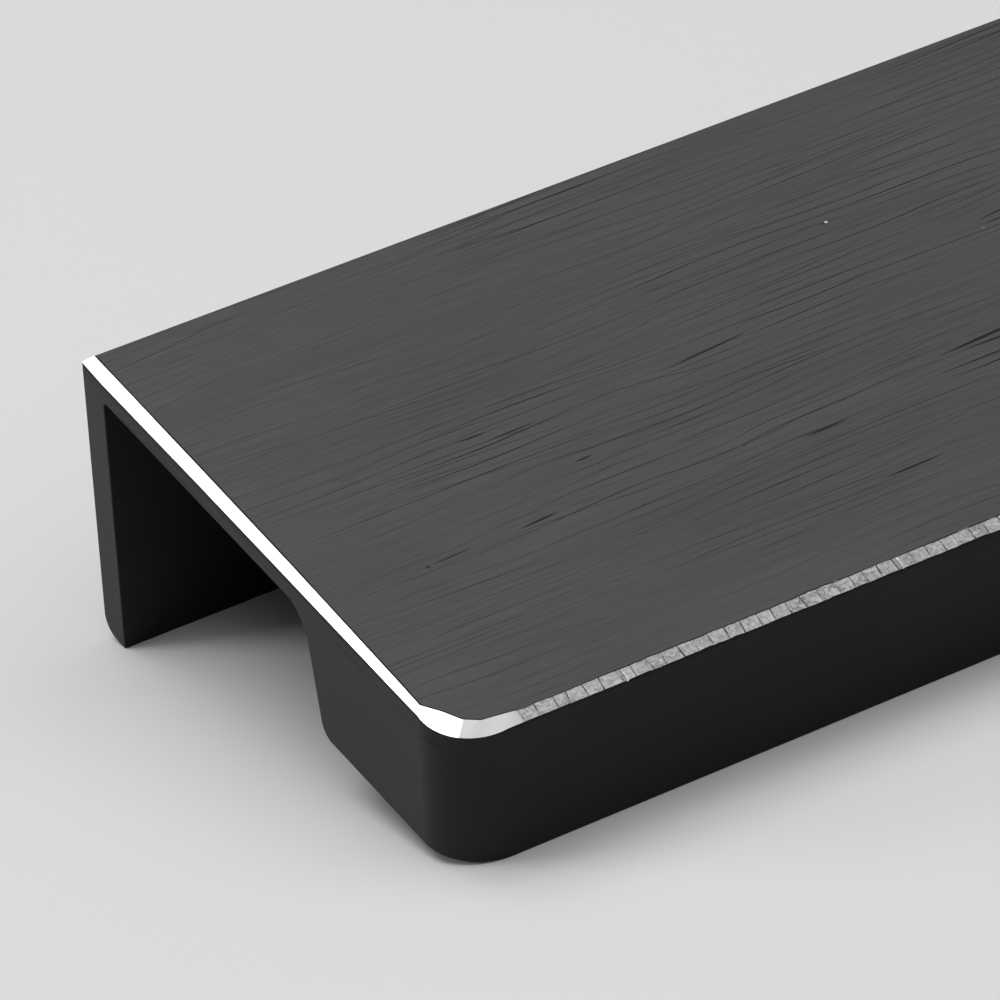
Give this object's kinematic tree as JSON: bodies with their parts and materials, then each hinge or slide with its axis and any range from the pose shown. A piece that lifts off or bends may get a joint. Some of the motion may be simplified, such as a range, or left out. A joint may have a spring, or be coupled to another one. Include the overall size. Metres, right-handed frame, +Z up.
{
  "type": "tab pull",
  "caption": "Edge-mounted tab pull in dark brushed aluminium, with a front finger lip, a rear mounting leg and a bright bevel.",
  "frame": {"origin": "middle of the two screw holes, on the mounting face of the leg", "axes": "+X along the pull, +Y from the finger lip back to the mounting leg, +Z up with the plate level"},
  "size_m": [0.1, 0.045, 0.021],
  "materials": {
    "brushed_aluminium": "dark brushed satin, with a bright cut bevel"
  },
  "bodies": {
    "root": {"pull_body": "brushed_aluminium"}
  },
  "joints": []
}
